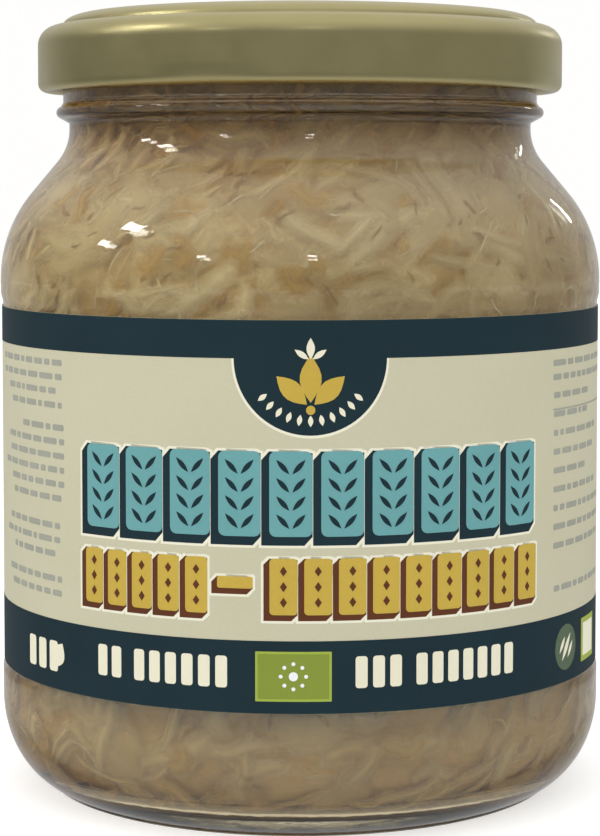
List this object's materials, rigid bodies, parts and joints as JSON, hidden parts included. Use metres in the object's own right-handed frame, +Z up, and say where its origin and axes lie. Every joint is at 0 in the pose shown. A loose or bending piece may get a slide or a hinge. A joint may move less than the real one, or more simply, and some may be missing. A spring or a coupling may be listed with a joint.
{
  "type": "sauerkraut jar",
  "caption": "Round twist-off glass jar with a gold lug lid and a wrap-round paper label, filled with packed shredded cabbage in brine.",
  "frame": {"origin": "centre of the base, on the plane that the jar stands on", "axes": "+Z up along the jar's axis; -Y is the front, where the label's panel is centred; +X to the right seen from the front"},
  "size_m": [0.0792, 0.0792, 0.101],
  "materials": {
    "glass": "clear flint glass, faintly green at the edges",
    "lid_metal": "gold lacquered tinplate, satin gloss",
    "label_paper": null,
    "cabbage": "wet shredded fermented cabbage",
    "brine": "cloudy brown pickling brine"
  },
  "bodies": {
    "root": {"jar": "glass", "lid": "lid_metal", "label": "label_paper", "sauerkraut": "cabbage", "brine": "brine"}
  },
  "joints": []
}
